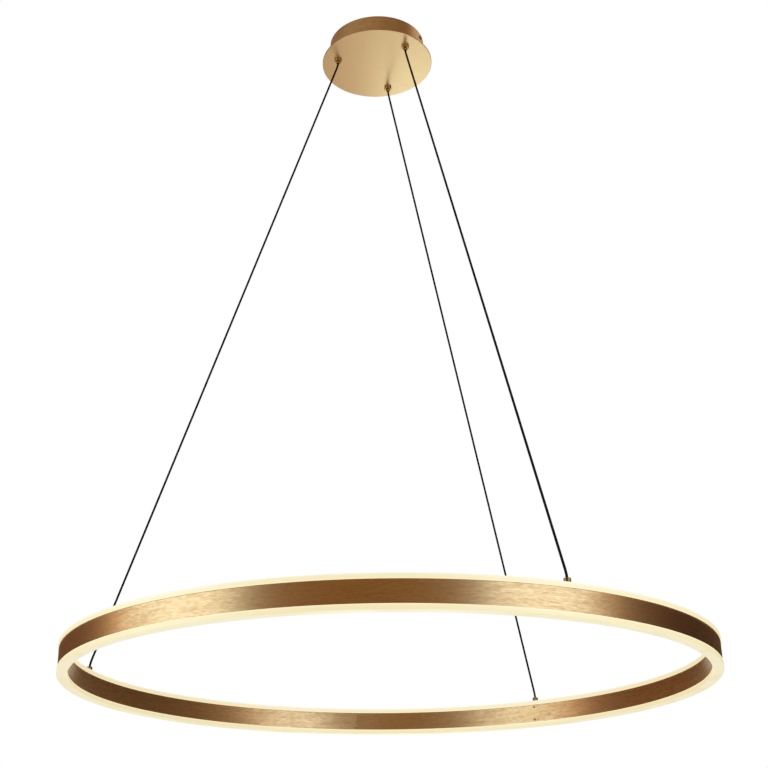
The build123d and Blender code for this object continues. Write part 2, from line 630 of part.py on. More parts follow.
# ---- LED strips: one above and one below the web between each pair of anchors --------
strip_gap = degrees((BLOCK_LENGTH / 2 + STRIP_END_GAP) / mid_r)
for k, mark in enumerate(MARKS):
    start = ANCHOR_AZ[k] + strip_gap
    sweep_angle = (ANCHOR_AZ[(k + 1) % 3] - ANCHOR_AZ[k]) % 360 - 2 * strip_gap
    chips = int(sweep_angle / CHIP_PITCH)
    first_chip = start + (sweep_angle - (chips - 1) * CHIP_PITCH) / 2
    for side, web_face, up in (("top", web_top, 1), ("bottom", web_bottom, -1)):
        with BuildPart() as led_strip:
            with BuildSketch(section(start)):
                with Locations((mid_r, web_face + up * STRIP_THICKNESS / 2)):
                    Rectangle(STRIP_WIDTH, STRIP_THICKNESS)
            revolve(axis=Axis.Z, revolution_arc=sweep_angle)
            with BuildSketch(Plane.XY.offset(web_face + up * STRIP_THICKNESS)):
                with PolarLocations(mid_r, chips, first_chip, (chips - 1) * CHIP_PITCH, endpoint=True):
                    Rectangle(CHIP_SIZE, CHIP_SIZE)
            extrude(amount=up * CHIP_HEIGHT)
        save(led_strip.part, f"led_strip_{side}_{mark}")

# ---- Anchors: a block in the core, a barrel screwed into it, and the cable's end ------
for mark, azimuth in zip(MARKS, ANCHOR_AZ):

    def level(z):
        """A level plane at height z on this anchor's upright axis."""
        return Plane(polar(mid_r, azimuth, z), x_dir=polar(1, azimuth), z_dir=(0, 0, 1))

    with BuildPart() as anchor_block:
        with BuildSketch(level(block_bottom)):
            Rectangle(block_width, BLOCK_LENGTH)
        extrude(amount=BLOCK_HEIGHT)
        with Locations(level(block_top)):
            Hole(SHANK_DIAMETER / 2 + THREAD_FIT, depth=block_top - ferrule_bottom + FERRULE_ROOM)
        for rise in (-ANCHOR_SCREW_SPACING / 2, ANCHOR_SCREW_SPACING / 2):
            with Locations(outward(mid_r - block_width / 2, azimuth, band_middle + rise)):
                Cylinder(ANCHOR_SCREW_DIAMETER / 2 + THREAD_FIT, 2 * ANCHOR_SCREW_LENGTH, mode=Mode.SUBTRACT)
    save(anchor_block.part, f"anchor_block_{mark}")

    with BuildPart() as anchor_barrel:
        with BuildSketch(level(ring_top)):
            Circle(BARREL_DIAMETER / 2)
        extrude(amount=BARREL_HEIGHT)
        chamfer(anchor_barrel.edges().group_by(Axis.Z)[-1], BARREL_CHAMFER)
        with BuildSketch(level(ring_top)):
            Circle(SHANK_DIAMETER / 2)
        extrude(amount=-SHANK_LENGTH)
        with Locations(level(barrel_top)):
            CounterBoreHole(bore_r, BARREL_MOUTH / 2, CABLE_SOCKET, depth=BARREL_HEIGHT + SHANK_LENGTH)
    save(anchor_barrel.part, f"anchor_barrel_{mark}")

    with BuildPart() as cable_end:
        with BuildSketch(level(cable_foot)):
            Circle(CABLE_DIAMETER / 2)
        extrude(amount=ferrule_bottom - cable_foot)
    save(cable_end.part, f"cable_end_{mark}")

    with BuildPart() as cable_ferrule:
        with BuildSketch(level(shank_bottom)):
            Circle(FERRULE_DIAMETER / 2)
            Circle(CABLE_DIAMETER / 2 + CRIMP_FIT, mode=Mode.SUBTRACT)
        extrude(amount=-FERRULE_LENGTH)
    save(cable_ferrule.part, f"cable_ferrule_{mark}")

# ---- Anchor screws: two through the inner band into each block -----------------------
with BuildPart() as anchor_screws:
    for face in anchor_screw_faces:
        sunk_screw(face, ANCHOR_SCREW_DIAMETER, ANCHOR_SCREW_HEAD, ANCHOR_SCREW_LENGTH)
save(anchor_screws.part, "anchor_screws")
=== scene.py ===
# %% [markdown]
# # A ring chandelier in brushed brass
# The lamp is a one metre ring of brushed brass band with glowing opal rings above and below it.
# Three tight black cables hold it under a round canopy. The CAD model already has the true shape
# of every hard piece, so it is loaded first as a fixed frame. This lesson then adds what CAD
# leaves out: the camera, soft cables, small screws and springs, real finishes, and light.

# %% Load the frame
from math import atan2, cos, pi, radians, sin

import bmesh
import bpy
from mathutils import Matrix, Vector


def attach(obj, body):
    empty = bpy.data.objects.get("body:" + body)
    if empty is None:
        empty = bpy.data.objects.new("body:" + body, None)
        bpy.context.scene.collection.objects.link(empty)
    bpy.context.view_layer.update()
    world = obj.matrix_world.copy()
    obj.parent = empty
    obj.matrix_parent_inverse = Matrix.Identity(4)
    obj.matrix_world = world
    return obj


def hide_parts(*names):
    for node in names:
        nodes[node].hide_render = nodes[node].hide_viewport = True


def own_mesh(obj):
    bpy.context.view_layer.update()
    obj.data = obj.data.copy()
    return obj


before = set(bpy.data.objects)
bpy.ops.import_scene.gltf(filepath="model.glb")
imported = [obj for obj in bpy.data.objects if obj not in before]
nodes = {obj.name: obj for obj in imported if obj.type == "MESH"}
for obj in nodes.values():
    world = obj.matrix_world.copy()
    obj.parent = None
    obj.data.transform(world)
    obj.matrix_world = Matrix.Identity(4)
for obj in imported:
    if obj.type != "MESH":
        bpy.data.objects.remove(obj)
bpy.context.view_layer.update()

# %% [markdown]
# ## The camera
# The photograph was taken from under the ring, looking up at the canopy. That is why the near side
# of the ring is the upper arc and shows its outer face. Position, turn and lens were worked out
# from the outlines of ring and canopy; the picture was cropped a little off centre, which is what
# the small sideways shift is for.

# %% Camera
PICTURE_WIDTH = 768  # pixels
FOCAL_PIXELS = 1320.0
CROP_OFFSET = 48.07  # pixels, lens axis left of the picture's middle
CAMERA_PLACE = (-0.00488, -2.05293, -1.5765)
CAMERA_YAW = -2.058  # degrees, positive to the right of +Y
CAMERA_PITCH = 23.194  # degrees, upwards
CAMERA_ROLL = -0.096  # degrees
SENSOR_WIDTH = 36.0  # millimetres

camera = bpy.data.objects.new("camera", bpy.data.cameras.new("camera"))
bpy.context.collection.objects.link(camera)
camera.data.sensor_fit = "HORIZONTAL"
camera.data.sensor_width = SENSOR_WIDTH
camera.data.lens = SENSOR_WIDTH * FOCAL_PIXELS / PICTURE_WIDTH
camera.data.shift_x = CROP_OFFSET / PICTURE_WIDTH
camera.matrix_world = (
    Matrix.Translation(CAMERA_PLACE)
    @ Matrix.Rotation(radians(-CAMERA_YAW), 4, "Z")
    @ Matrix.Rotation(radians(90 + CAMERA_PITCH), 4, "X")
    @ Matrix.Rotation(radians(CAMERA_ROLL), 4, "Z")
)
bpy.context.scene.camera = camera
print("lens", round(camera.data.lens, 2), "mm, shift", round(camera.data.shift_x, 4))

# %% [markdown]
# ## The three cables
# Each is a round 3.6 mm PVC-jacketed cable that carries both the ring's weight and its current, so
# it is pulled dead straight between the grip in the canopy and the barrel on the ring, with one
# small bend where it enters each. A NURBS curve steered by a few points gives that line. A beveled
# curve would do for a still picture, but the cable has to shorten as the ring is raised, and only a
# mesh can be squashed, so the curve is turned into a mesh tube.

# %% Cable routes
# Metres and degrees, about the lamp's axis; heights are negative below the ceiling.
GRIP_RADIUS = 0.075
GRIP_AZ = {"a": 74.3, "b": 194.3, "c": 314.3}
ANCHOR_AZ = {"a": 56.6, "b": 169.4, "c": 297.1}
RING_MIDDLE = 0.493  # radius of the middle of the ring's profile
CABLE_DIAMETER = 0.0036
CABLE_HEAD = -0.048  # inside the grip's nozzle
NOZZLE_BEND = -0.055
BARREL_BEND = -1.1485
CABLE_FOOT = -1.1555  # inside the barrel
STRAIGHTENER = 0.0216  # six diameters from each bend, so that the long run stays straight


def polar(radius, azimuth, z):
    """A point at a radius and azimuth about the lamp's axis."""
    return Vector((radius * cos(radians(azimuth)), radius * sin(radians(azimuth)), z))


def route(mark):
    """A free cable's points, from inside its nozzle to inside its barrel."""
    top = polar(GRIP_RADIUS, GRIP_AZ[mark], NOZZLE_BEND)
    low = polar(RING_MIDDLE, ANCHOR_AZ[mark], BARREL_BEND)
    down = (low - top).normalized()
    return [
        polar(GRIP_RADIUS, GRIP_AZ[mark], CABLE_HEAD),
        top,
        top + down * STRAIGHTENER,
        low - down * STRAIGHTENER,
        low,
        polar(RING_MIDDLE, ANCHOR_AZ[mark], CABLE_FOOT),
    ]


print("cable a runs", round((route("a")[3] - route("a")[2]).length, 3), "m straight")

# %% Turn a route into a mesh tube
CURVE_STEPS = 24  # between two points of a route
TUBE_STEPS = 6  # bevel resolution of its round outline


def nurbs(name, points, radius):
    """A NURBS curve with these control points, beveled to a tube of this radius."""
    curve = bpy.data.curves.new(name, "CURVE")
    curve.dimensions = "3D"
    spline = curve.splines.new("NURBS")
    spline.points.add(len(points) - 1)
    for spot, place in zip(spline.points, points):
        spot.co = (*place, 1.0)
    spline.order_u = 3
    spline.use_endpoint_u = True
    spline.resolution_u = CURVE_STEPS
    curve.bevel_depth = radius
    curve.bevel_resolution = TUBE_STEPS
    return curve


def mesh_of(curve, name):
    """A mesh made from a curve."""
    holder = bpy.data.objects.new(name, curve)
    bpy.context.collection.objects.link(holder)
    graph = bpy.context.evaluated_depsgraph_get()
    mesh = bpy.data.meshes.new_from_object(holder.evaluated_get(graph))
    bpy.data.objects.remove(holder)
    return mesh


def tube(name, points):
    """A round cable as a mesh object, and the points of its centre line."""
    centre_line = [v.co.copy() for v in mesh_of(nurbs(name, points, 0.0), name).vertices]
    curve = nurbs(name, points, CABLE_DIAMETER / 2)
    curve.use_fill_caps = True
    cable = bpy.data.objects.new(name, mesh_of(curve, name))
    bpy.context.collection.objects.link(cable)
    cable.data.shade_smooth()
    return cable, centre_line


for mark in "abc":
    cable, centre_line = tube(f"suspension_cable_{mark}", route(mark))
    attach(cable, "canopy")
    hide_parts(f"cable_{mark}")
    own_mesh(cable)

# %% [markdown]
# ## The cables' upper ends
# Inside the canopy each cable runs straight up through its grip and then turns over to the output
# terminal in the middle. It is the same cable, so the same NURBS tube is used. The corner itself
# is one point. One more in the grip and one on the level run keep the line inside the grip's bore
# and the turn wide.

# %% The upper ends
GRIP_POINT = -0.037  # height of the point inside the grip
LEVEL_RUN = -0.009  # height of the part that lies level
TURN_END = 0.047  # radius at which the turn is over
TERMINAL_RADIUS = 0.007
for mark in "abc":
    turn = GRIP_AZ[mark]
    points = [
        polar(GRIP_RADIUS, turn, CABLE_HEAD),
        polar(GRIP_RADIUS, turn, GRIP_POINT),
        polar(GRIP_RADIUS, turn, LEVEL_RUN),
        polar(TURN_END, turn, LEVEL_RUN),
        polar(TERMINAL_RADIUS, turn, LEVEL_RUN),
    ]
    upper_end, centre_line = tube(f"cable_upper_end_{mark}", points)
    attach(upper_end, "canopy")
    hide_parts(f"cable_tail_{mark}")

# %% [markdown]
# ## Helpers for modelling by hand
# The small pieces are made as one would by hand: a primitive, edit-mode operators, then a modifier
# that is applied. Operators act on whatever is selected, so each piece starts with nothing
# selected. Faces and edges are then picked in code by where they lie.

# %% Modelling helpers


def start_fresh():
    """Leave nothing selected, so that the next primitive is alone."""
    bpy.ops.object.select_all(action="DESELECT")


def piece(name):
    """Name the new primitive, apply its place to its mesh, and give it back."""
    bpy.ops.object.transform_apply(location=True, rotation=True, scale=True)
    made = bpy.context.object
    made.name = made.data.name = name
    return made


def apply(target, kind, **settings):
    """Add a modifier with these settings and apply it."""
    bpy.context.view_layer.objects.active = target
    modifier = target.modifiers.new(kind.lower(), kind)
    for setting, value in settings.items():
        setattr(modifier, setting, value)
    bpy.ops.object.modifier_apply(modifier=modifier.name)


def placed_copy(model, name, place):
    """A copy with its own mesh, put in its place there."""
    copy = bpy.data.objects.new(name, model.data.copy())
    bpy.context.collection.objects.link(copy)
    copy.data.name = name
    copy.data.transform(place)
    return copy


def one_piece(name, parts):
    """Join these objects into one piece."""
    start_fresh()
    for part in parts:
        part.select_set(True)
    bpy.context.view_layer.objects.active = parts[0]
    if len(parts) > 1:
        bpy.ops.object.join()
    parts[0].name = parts[0].data.name = name
    return parts[0]


def facing(azimuth, radius, z, outward):
    """The place of a screw: its head faces in or out at a radius, azimuth and height."""
    out = polar(1, azimuth, 0) * (1 if outward else -1)
    up = Vector((0, 0, 1))
    turn = Matrix((up.cross(out), up, out)).transposed().to_4x4()
    return Matrix.Translation(polar(radius, azimuth, z)) @ turn


# %% [markdown]
# ## Screws
# Six countersunk screws hold the ring to its three anchor blocks and one small one closes the
# inner band beside its seam. Two low button heads hold the canopy to the ceiling plate. All have
# a hexagon socket, which is the detail that says screw from nearby. The model starts as a six
# sided outline, the socket's floor. It is extruded up the socket's walls, turned into a round rim
# with To Sphere, and then extruded down the head and the shank.

# %% A socket screw
FLAT_TO_CORNER = cos(pi / 6)  # of a hexagon
EDGE_BEVEL = 0.0001  # metres, or less on a very small screw
SHARP = radians(35)  # an edge is sharp from this angle on
SAME_LEVEL = 1e-6


def socket_screw(name, across_flats, depth, profile):
    """A screw on the Z axis, its socket's rim at z = 0; profile is (radius, z) from there on."""
    start_fresh()
    corner = across_flats / 2 / FLAT_TO_CORNER
    bpy.ops.mesh.primitive_circle_add(vertices=6, radius=corner, location=(0, 0, -depth))
    screw = piece(name)
    bpy.ops.object.mode_set(mode="EDIT")
    bpy.ops.mesh.select_all(action="SELECT")
    bpy.ops.mesh.subdivide(number_cuts=3)
    bpy.ops.mesh.extrude_region_move(TRANSFORM_OT_translate={"value": (0, 0, depth)})
    radius, z = corner * (1 + FLAT_TO_CORNER) / 2, 0.0
    for number, (next_radius, next_z) in enumerate(profile):
        bpy.ops.mesh.extrude_region_move(TRANSFORM_OT_translate={"value": (0, 0, next_z - z)})
        if number == 0:
            bpy.ops.transform.tosphere(value=1.0)
            radius = rim_radius(screw)
        grow = next_radius / radius
        bpy.ops.transform.resize(value=(grow, grow, 1), center_override=(0, 0, next_z))
        radius, z = next_radius, next_z
    bpy.ops.mesh.edge_face_add()
    pick_ring(screw, -depth, corner)
    bpy.ops.mesh.edge_face_add()
    bpy.ops.mesh.select_all(action="SELECT")
    bpy.ops.mesh.normals_make_consistent(inside=False)
    bpy.ops.object.mode_set(mode="OBJECT")
    edge = min(EDGE_BEVEL, across_flats / 12)
    apply(screw, "BEVEL", width=edge, segments=2, limit_method="ANGLE", angle_limit=SHARP)
    bpy.ops.object.shade_smooth_by_angle(angle=SHARP)
    return screw


def rim_radius(screw):
    """The mean radius of the selected loop, read from the mesh in edit mode."""
    shape = bmesh.from_edit_mesh(screw.data)
    reaches = [vertex.co.xy.length for vertex in shape.verts if vertex.select]
    return sum(reaches) / len(reaches)


def pick_ring(screw, z, reach):
    """Select only the loop at height z and within this radius."""
    shape = bmesh.from_edit_mesh(screw.data)
    for vertex in shape.verts:
        level = abs(vertex.co.z - z) < SAME_LEVEL
        vertex.select = level and vertex.co.xy.length < reach * 1.01
    shape.select_flush(True)
    bmesh.update_edit_mesh(screw.data)


# %% Anchor screws
BAND_MIDDLE = -1.18125  # height of the middle of the brass bands
INNER_FACE = 0.486  # radius of the inner band's visible side
ANCHOR_SCREW_RISE = 0.011  # above and below the middle
anchor_model = socket_screw(
    "anchor screw model",
    across_flats=0.0015,
    depth=0.0009,
    profile=[
        (0.0021, 0.0),
        (0.00218, -0.00008),
        (0.00125, -0.00098),
        (0.00125, -0.0034),
        (0.00095, -0.0037),
    ],
)
copies = [
    placed_copy(
        anchor_model, "screw", facing(ANCHOR_AZ[mark], INNER_FACE, BAND_MIDDLE + rise, False)
    )
    for mark in "abc"
    for rise in (-ANCHOR_SCREW_RISE, ANCHOR_SCREW_RISE)
]
anchor_screws = one_piece("countersunk_anchor_screws", copies)
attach(anchor_screws, "ring")
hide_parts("anchor_screws")
print("anchor screws", len(anchor_screws.data.polygons), "faces for six")

# %% The screw beside the seam
SEAM_AZ = 96.8
SEAM_SCREW_AZ = SEAM_AZ + 0.3065  # 2.6 mm beside the seam
SEAM_SCREW_LEVEL = -1.1935
seam_model = socket_screw(
    "seam screw model",
    across_flats=0.0011,
    depth=0.0006,
    profile=[
        (0.0015, 0.0),
        (0.00158, -0.00006),
        (0.001, -0.00062),
        (0.001, -0.0022),
        (0.0008, -0.0024),
    ],
)
seam_screw = placed_copy(
    seam_model,
    "countersunk_seam_screw",
    facing(SEAM_SCREW_AZ, INNER_FACE, SEAM_SCREW_LEVEL, False),
)
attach(seam_screw, "ring")
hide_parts("band_seam_screw")
print("seam screw", len(seam_screw.data.polygons), "faces")

# %% Side screws of the canopy
SIDE_SCREW_AZ = (-22, 158)
SIDE_SCREW_FACE = 0.0902  # radius of the head's outer face
SIDE_SCREW_LEVEL = -0.008
side_model = socket_screw(
    "side screw model",
    across_flats=0.0025,
    depth=0.0012,
    profile=[
        (0.0026, 0.0),
        (0.00325, -0.00025),
        (0.00365, -0.0009),
        (0.00375, -0.0022),
        (0.002, -0.0022),
        (0.002, -0.0088),
        (0.0016, -0.0094),
    ],
)
copies = [
    placed_copy(side_model, "screw", facing(turn, SIDE_SCREW_FACE, SIDE_SCREW_LEVEL, True))
    for turn in SIDE_SCREW_AZ
]
side_screws = one_piece("button_head_side_screws", copies)
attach(side_screws, "canopy")
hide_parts("canopy_side_screws")
for model in (anchor_model, seam_model, side_model):
    bpy.data.objects.remove(model)
print("side screws", len(side_screws.data.polygons), "faces for two")

# %% [markdown]
# ## Grip springs
# Inside each cable grip a small spring presses the ball sleeve down, so that the balls bite the
# cable. Pressing the nozzle up by two millimetres frees the cable and shortens the spring. A
# circle of wire and the Screw modifier make an even coil. The modifier leaves the wire's two cut
# ends open, so each gets a face.

# %% Springs
WIRE_RADIUS = 0.0002
WIRE_SIDES = 10
COIL_RADIUS = 0.0033
COIL_LOW = -0.03125
COIL_RISE = 0.0035  # over all its turns
COIL_TURNS = 3.5
COIL_STEPS = 84
WIRE_SHARP = radians(40)  # keeps the cut ends' edges sharp and the wire round

start_fresh()
bpy.ops.mesh.primitive_circle_add(
    vertices=WIRE_SIDES,
    radius=WIRE_RADIUS,
    location=(COIL_RADIUS, 0, COIL_LOW),
    rotation=(pi / 2, 0, 0),
)
coil = piece("spring model")
apply(
    coil,
    "SCREW",
    angle=2 * pi * COIL_TURNS,
    screw_offset=COIL_RISE,
    steps=COIL_STEPS,
    render_steps=COIL_STEPS,
)
bpy.ops.object.mode_set(mode="EDIT")
bpy.ops.mesh.select_all(action="DESELECT")
bpy.ops.mesh.select_non_manifold()
bpy.ops.mesh.edge_face_add()
bpy.ops.mesh.select_non_manifold()
bpy.ops.mesh.edge_face_add()
bpy.ops.mesh.select_all(action="SELECT")
bpy.ops.mesh.normals_make_consistent(inside=False)
bpy.ops.object.mode_set(mode="OBJECT")
bpy.ops.object.shade_smooth_by_angle(angle=WIRE_SHARP)
springs = []
for mark in "abc":
    spot = Matrix.Translation(polar(GRIP_RADIUS, GRIP_AZ[mark], 0))
    spring = placed_copy(coil, f"release_spring_{mark}", spot)
    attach(spring, "canopy")
    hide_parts(f"grip_spring_{mark}")
    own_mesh(spring)
    springs.append(spring)
bpy.data.objects.remove(coil)
print("springs", [len(spring.data.polygons) for spring in springs], "faces")

# %% [markdown]
# ## Finishes
# Patterns read Object coordinates, which are the lamp's real metres, so a noise of scale 100 has
# patches of about a hundredth of a metre.
#
# A socket is given by its name, or by its number where a node has several of one name. On Mix, 0 is
# the share, 2 and 3 are the two values or 6 and 7 the two colours, and output 2 is the mixed
# colour. On Map Range, 0 is the value, 1 and 2 are the range it comes in, and 3 and 4 the range it
# goes to. On Mapping, 3 is the scale.

# %% Finish helpers


def linear(colour):
    """An sRGB hex colour as linear RGBA."""
    parts = [int(colour[k : k + 2], 16) / 255 for k in (1, 3, 5)]
    return (*[c / 12.92 if c <= 0.04045 else ((c + 0.055) / 1.055) ** 2.4 for c in parts], 1.0)


def add(tree, kind, sockets=None, stops=(), **settings):
    """Add a node: its settings, its sockets as values or links, and a ramp's stops."""
    node = tree.nodes.new("ShaderNode" + kind)
    for setting, value in settings.items():
        setattr(node, setting, value)
    for socket, value in (sockets or {}).items():
        if isinstance(value, bpy.types.NodeSocket):
            tree.links.new(value, node.inputs[socket])
        else:
            node.inputs[socket].default_value = value
    for number, (position, colour) in enumerate(stops):
        if number > 1:
            node.color_ramp.elements.new(position)
        node.color_ramp.elements[number].position = position
        node.color_ramp.elements[number].color = linear(colour)
    return node


def finish(name, metallic=0.0, roughness=0.5):
    """A new material, its node tree, and its shader with these values."""
    made = bpy.data.materials.new(name)
    made.use_nodes = True
    shader = made.node_tree.nodes["Principled BSDF"]
    shader.inputs["Metallic"].default_value = metallic
    shader.inputs["Roughness"].default_value = roughness
    return made, made.node_tree, shader


def dress(material, *names):
    """Give this finish to CAD nodes or to new pieces."""
    for name in names:
        target = nodes.get(name) or bpy.data.objects[name]
        if not target.material_slots:
            target.data.materials.append(material)
        for slot in target.material_slots:
            slot.material = material


# %% [markdown]
# ## Brushed brass
# The bands, the drum and the cover disc are brass plated sheet, brushed with a fine belt and
# lacquered. Fine scratches that all run one way spread a reflection across them and not along
# them. To the eye the metal looks smooth along the brushing and smeared across it, which is what
# the Anisotropic value does once its tangent points across the strokes. The lacquer is a thin
# coat over it, and gives the bright patches their pale glare.
#
# On the bands and the drum the strokes run round the lamp's axis, and on the disc along X. Noise
# that is stretched in every level direction and squeezed in height looks like strokes on any
# upright wall, whichever way the wall faces, so a curved band needs no unrolling and has no jump.
# Real brush marks are about 0.1 mm apart, too fine to show here, so they are drawn at 1 mm.

# %% Brushed brass
STROKE = 0.009  # metres, length of one brush mark
MARK_SPACING = 0.001  # metres
BROAD_SCALE, BROAD_SHARE = 0.22, 0.3  # broader marks among the fine ones
NOISE_LOW, NOISE_HIGH = 0.35, 0.65  # where most of the noise lies
BRASS_DARK, BRASS_LIGHT = "#C49760", "#E6BC84"
BRASS_DULL, BRASS_SMOOTH = 0.42, 0.32  # roughness of dark and light marks
MARK_RELIEF, MARK_HEIGHT = 0.08, 0.0003
SMEAR = 0.4  # anisotropic
LACQUER, LACQUER_ROUGHNESS = 0.25, 0.35


def brushed_brass(name, upright, contrast):
    """Lacquered brushed brass; strokes run level on upright walls, or else along X."""
    made, tree, shader = finish(name, metallic=1.0)
    where = add(tree, "TexCoord")
    long, short = 1 / STROKE, 1 / MARK_SPACING
    squeeze = (long, long, short) if upright else (long, short, long)
    place = add(tree, "Mapping", {0: where.outputs["Object"], 3: squeeze})
    fine = add(tree, "TexNoise", {"Vector": place.outputs[0], "Scale": 1.0, "Detail": 3.0})
    broad = add(
        tree, "TexNoise", {"Vector": place.outputs[0], "Scale": BROAD_SCALE, "Detail": 1.0}
    )
    marks = add(
        tree,
        "Mix",
        {0: BROAD_SHARE, 2: fine.outputs[0], 3: broad.outputs[0]},
        data_type="FLOAT",
    )
    spread = add(
        tree,
        "MapRange",
        {
            0: marks.outputs[0],
            1: NOISE_LOW,
            2: NOISE_HIGH,
            3: 0.5 - contrast / 2,
            4: 0.5 + contrast / 2,
        },
    )
    colour = add(
        tree,
        "Mix",
        {0: spread.outputs[0], 6: linear(BRASS_DARK), 7: linear(BRASS_LIGHT)},
        data_type="RGBA",
    )
    gloss = add(tree, "MapRange", {0: spread.outputs[0], 3: BRASS_DULL, 4: BRASS_SMOOTH})
    relief = add(
        tree,
        "Bump",
        {
            "Strength": MARK_RELIEF * contrast,
            "Distance": MARK_HEIGHT,
            "Height": marks.outputs[0],
        },
    )
    across = add(tree, "CombineXYZ", {1: 0.0 if upright else 1.0, 2: 1.0 if upright else 0.0})
    tree.links.new(gloss.outputs[0], shader.inputs["Roughness"])
    tree.links.new(relief.outputs[0], shader.inputs["Normal"])
    tree.links.new(across.outputs[0], shader.inputs["Tangent"])
    tree.links.new(colour.outputs[2], shader.inputs["Base Color"])
    shader.inputs["Anisotropic"].default_value = SMEAR
    shader.inputs["Coat Weight"].default_value = LACQUER
    shader.inputs["Coat Roughness"].default_value = LACQUER_ROUGHNESS
    return made, tree, shader, where, colour


print("brass from", BRASS_DARK, "to", BRASS_LIGHT)

# %% The bands, with a painted shadow line at their edges
# A thin painted shadow darkens each band where its rounded edge meets the opal, deeper at the top.
UPPER_EDGE = (-1.1668, -1.1662)  # heights where the line starts and is full
LOWER_EDGE = (-1.1961, -1.1964)
UPPER_SHADOW_DEPTH, LOWER_SHADOW_DEPTH = 0.65, 0.4
EDGE_SHADOW_BROWN = "#5A3A20"

band_brass, tree, shader, where, colour = brushed_brass("brushed brass band", True, 1.0)
height = add(tree, "SeparateXYZ", {0: where.outputs["Object"]}).outputs[2]
upper = add(
    tree,
    "MapRange",
    {0: height, 1: UPPER_EDGE[0], 2: UPPER_EDGE[1], 4: UPPER_SHADOW_DEPTH},
    interpolation_type="SMOOTHSTEP",
)
lower = add(
    tree,
    "MapRange",
    {0: height, 1: LOWER_EDGE[0], 2: LOWER_EDGE[1], 4: LOWER_SHADOW_DEPTH},
    interpolation_type="SMOOTHSTEP",
)
# Painted shadow: near both edges the base colour is mixed towards dark brown.
edges = add(tree, "Math", {0: upper.outputs[0], 1: lower.outputs[0]}, operation="MAXIMUM")
shaded = add(
    tree,
    "Mix",
    {0: edges.outputs[0], 6: colour.outputs[2], 7: linear(EDGE_SHADOW_BROWN)},
    data_type="RGBA",
)
tree.links.new(shaded.outputs[2], shader.inputs["Base Color"])
dress(band_brass, "outer_band", "inner_band")
print(band_brass.name, "has", len(tree.nodes), "nodes")

# %% The drum and the disc, where the brushing shows less
DRUM_CONTRAST, DISC_CONTRAST = 0.7, 0.12
dress(brushed_brass("brushed brass drum", True, DRUM_CONTRAST)[0], "canopy_drum")
dress(brushed_brass("brushed brass disc", False, DISC_CONTRAST)[0], "canopy_disc")
print("brush contrast", DRUM_CONTRAST, "on the drum and", DISC_CONTRAST, "on the disc")

# %% [markdown]
# ## Turned brass
# Grips, barrels and screws are turned from brass bar and plated with the rest. They are smoother
# and a little darker and redder than the brushed sheet. The lathe leaves fine rings, every 0.05 mm
# on the real piece, drawn every 0.4 mm so that they show.

# %% Turned brass
TURNED_PITCH = 0.0004
WAVE_LENGTH = 0.314  # metres from wave to wave at scale 1
TURNED_DARK, TURNED_LIGHT = "#8E6C40", "#A88550"
TURNED_SMOOTH, TURNED_DULL = 0.24, 0.34  # roughness
turned_brass, tree, shader = finish("turned brass", metallic=1.0, roughness=0.28)
where = add(tree, "TexCoord")
rings = add(
    tree,
    "TexWave",
    {
        "Vector": where.outputs["Object"],
        "Scale": WAVE_LENGTH / TURNED_PITCH,
        "Distortion": 0.4,
        "Detail": 1.0,
    },
    bands_direction="Z",
)
tone = add(
    tree,
    "Mix",
    {0: rings.outputs[1], 6: linear(TURNED_DARK), 7: linear(TURNED_LIGHT)},
    data_type="RGBA",
)
relief = add(tree, "Bump", {"Strength": 0.15, "Distance": 0.00005, "Height": rings.outputs[1]})
gloss = add(tree, "MapRange", {0: rings.outputs[1], 3: TURNED_SMOOTH, 4: TURNED_DULL})
tree.links.new(tone.outputs[2], shader.inputs["Base Color"])
tree.links.new(relief.outputs[0], shader.inputs["Normal"])
tree.links.new(gloss.outputs[0], shader.inputs["Roughness"])
dress(turned_brass, "countersunk_anchor_screws", "countersunk_seam_screw")
dress(turned_brass, "button_head_side_screws")
for mark in "abc":
    dress(turned_brass, f"grip_body_{mark}", f"grip_cap_{mark}", f"grip_plunger_{mark}")
    dress(turned_brass, f"anchor_barrel_{mark}")
print("lathe rings every", TURNED_PITCH * 1000, "mm")

# %% [markdown]
# ## Opal acrylic, lit from inside
# The diffusers are extruded opal acrylic, bent to a ring. LEDs behind them make the whole head
# glow a warm white: brightest and creamiest right beside the brass, a little yellower across the
# middle, and paler at the outer edge. Part of the colour is the plastic's own, so that it also
# looks right when the room lights it, and part is emission. The plastic's own colour is the same
# ramp dimmed, so the glow's light pattern is painted into it too. Its colour is read from the
# height above or below the middle of the bands, and faint clouds about 5 cm across shift it a
# little.

# %% What the opal shows at each height
HALF_BAND = 0.01525  # from the middle of the bands to the brass edge
HEAD = 0.0075  # how far the opal stands past the brass
GLOW_STOPS = [
    (0.0, "#FAF1D0"),  # the face that looks down
    (0.015, "#F3E5B8"),
    (0.1, "#F4E3B2"),
    (0.14, "#FBEABC"),
    (0.165, "#FFF2CC"),  # beside the brass
    (0.835, "#FFEFC0"),
    (0.87, "#F8E6B8"),
    (0.93, "#F5E7C0"),
    (1.0, "#FAF1DA"),  # the face that looks up
]
print("opal reaches", round((HALF_BAND + HEAD) * 1000, 2), "mm from the middle")

